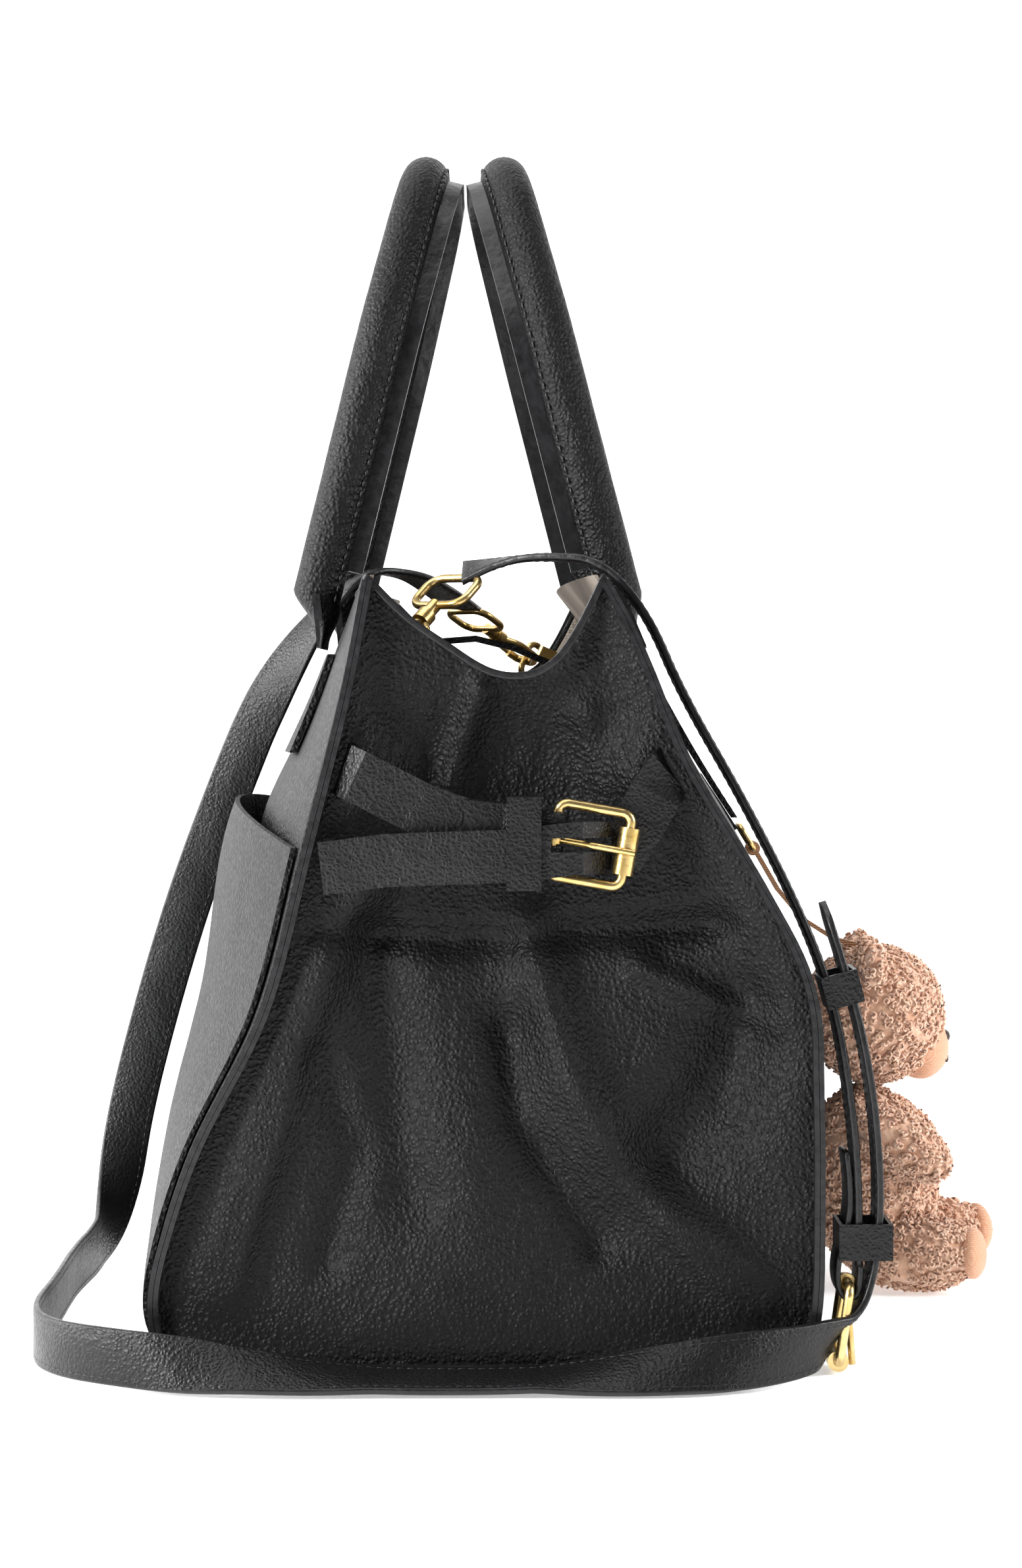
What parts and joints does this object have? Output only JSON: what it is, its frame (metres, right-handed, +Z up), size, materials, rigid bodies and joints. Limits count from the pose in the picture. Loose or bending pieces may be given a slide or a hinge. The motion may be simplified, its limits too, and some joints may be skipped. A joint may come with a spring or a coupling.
{
  "type": "diaper bag",
  "caption": "Soft leather diaper tote with rolled handles, buckled side belts, a detachable crossbody strap and a plush bear charm.",
  "frame": {"origin": "middle of the base, on the surface that the bag stands on", "axes": "+Z up, +X along the bag's width, +Y towards the back panel with the slip pocket; the bear hangs on the front, -Y"},
  "size_m": [0.4401, 0.3819, 0.4647],
  "materials": {
    "black_leather": "fine pebbled, satin",
    "edge_paint": "smooth painted edge",
    "facing_leather": "suede-like, matt",
    "lining_cloth": "plain weave",
    "hardware": "satin brushed",
    "plush": "curly pile",
    "plush_strap": "woven tape",
    "bead": "glossy",
    "board": "plain",
    "rope": "twisted"
  },
  "bodies": {
    "bag": {"back_facing": "facing_leather", "back_handle_tabs": "black_leather", "back_panel": "black_leather", "back_pocket": "black_leather", "base_board": "board", "base_panel": "black_leather", "bear_anchor": "black_leather", "bear_anchor_ring": "hardware", "closure_anchor": "black_leather", "closure_snap_base": "hardware", "dee_ring_tabs": "black_leather", "front_facing": "facing_leather", "front_handle_tabs": "black_leather", "front_panel": "black_leather", "left_belt_buckle": "hardware", "left_belt_buckle_strap": "black_leather", "left_belt_keeper": "black_leather", "left_belt_tip_strap": "black_leather", "left_dee_ring": "hardware", "left_gusset": "black_leather", "left_seam_edges": "edge_paint", "left_strap_ring": "hardware", "lining": "lining_cloth", "long_strap": "black_leather", "right_belt_buckle": "hardware", "right_belt_buckle_strap": "black_leather", "right_belt_keeper": "black_leather", "right_belt_tip_strap": "black_leather", "right_dee_ring": "hardware", "right_gusset": "black_leather", "right_seam_edges": "edge_paint", "right_strap_ring": "hardware", "short_strap": "black_leather", "strap_buckle": "hardware", "strap_keepers": "black_leather"},
    "back_handle": {"back_handle_wrap": "black_leather", "back_handle_seam": "edge_paint", "back_handle_core": "rope"},
    "front_handle": {"front_handle_wrap": "black_leather", "front_handle_seam": "edge_paint", "front_handle_core": "rope"},
    "closure": {"closure_tab": "black_leather", "closure_plate": "hardware", "closure_snap_cap": "hardware"},
    "left_belt_roller": {"left_belt_roller": "hardware"},
    "right_belt_roller": {"right_belt_roller": "hardware"},
    "left_belt_prong": {"left_belt_prong": "hardware"},
    "right_belt_prong": {"right_belt_prong": "hardware"},
    "strap_buckle_roller": {"strap_buckle_roller": "hardware"},
    "strap_buckle_prong": {"strap_buckle_prong": "hardware"},
    "left_clasp_hook": {"left_clasp_hook": "hardware"},
    "right_clasp_hook": {"right_clasp_hook": "hardware"},
    "left_clasp_gate": {"left_clasp_gate": "hardware"},
    "right_clasp_gate": {"right_clasp_gate": "hardware"},
    "bear": {"bear_strap": "plush_strap", "bear_head": "plush", "bear_torso": "plush", "bear_arms": "plush", "bear_legs": "plush", "bear_eyes_and_nose": "bead"}
  },
  "joints": [
    {"name": "back_handle_fold", "type": "hinge", "parent": "bag", "child": "back_handle", "pos_m": [0, 0.0635, 0.265], "axis": [-1, 0, 0], "range_deg": [0, 100]},
    {"name": "front_handle_fold", "type": "hinge", "parent": "bag", "child": "front_handle", "pos_m": [0, -0.061, 0.265], "axis": [1, 0, 0], "range_deg": [0, 100]},
    {"name": "closure_lift", "type": "hinge", "parent": "bag", "child": "closure", "pos_m": [0, 0.05389, 0.252], "axis": [-1, 0, 0], "range_deg": [0, 60], "deforming": ["closure_tab"]},
    {"name": "left_belt_roller_turn", "type": "hinge", "parent": "bag", "child": "left_belt_roller", "pos_m": [-0.1982, -0.0506, 0.1894], "axis": [0, -0.1736, 0.9848], "continuous": true},
    {"name": "right_belt_roller_turn", "type": "hinge", "parent": "bag", "child": "right_belt_roller", "pos_m": [0.1982, -0.0506, 0.1894], "axis": [0, -0.1736, 0.9848], "continuous": true},
    {"name": "left_belt_prong_lift", "type": "hinge", "parent": "bag", "child": "left_belt_prong", "pos_m": [-0.1982, -0.0245, 0.194], "axis": [0, 0.1736, -0.9848], "range_deg": [0, 20]},
    {"name": "right_belt_prong_lift", "type": "hinge", "parent": "bag", "child": "right_belt_prong", "pos_m": [0.1982, -0.0245, 0.194], "axis": [0, -0.1736, 0.9848], "range_deg": [0, 20]},
    {"name": "strap_buckle_roller_turn", "type": "hinge", "parent": "bag", "child": "strap_buckle_roller", "pos_m": [-0.181, -0.1276, 0.0046], "axis": [1, 0, 0], "continuous": true},
    {"name": "strap_buckle_prong_lift", "type": "hinge", "parent": "bag", "child": "strap_buckle_prong", "pos_m": [-0.181, -0.1315, 0.032], "axis": [-1, 0, 0], "range_deg": [0, 20]},
    {"name": "left_clasp_swivel", "type": "hinge", "parent": "bag", "child": "left_clasp_hook", "pos_m": [-0.147, 0.01, 0.289], "axis": [-0.6083, 0.5099, -0.6083], "range_deg": [-40, 40]},
    {"name": "right_clasp_swivel", "type": "hinge", "parent": "bag", "child": "right_clasp_hook", "pos_m": [0.139, 0.01, 0.283], "axis": [0.6089, -0.6402, -0.4684], "range_deg": [-40, 40]},
    {"name": "left_gate_open", "type": "hinge", "parent": "left_clasp_hook", "child": "left_clasp_gate", "pos_m": [-0.16701, 0.02208, 0.2713], "axis": [0.4662, -0.3908, -0.7937], "range_deg": [0, 18], "stiffness_Nm_per_rad": 0.002},
    {"name": "right_gate_open", "type": "hinge", "parent": "right_clasp_hook", "child": "right_clasp_gate", "pos_m": [0.15933, -0.00615, 0.26937], "axis": [-0.3228, 0.3394, -0.8835], "range_deg": [0, 18], "stiffness_Nm_per_rad": 0.002},
    {"name": "bear_swing", "type": "hinge", "parent": "bag", "child": "bear", "pos_m": [0, -0.1116, 0.181], "axis": [-1, 0, 0], "range_deg": [0, 60]}
  ]
}
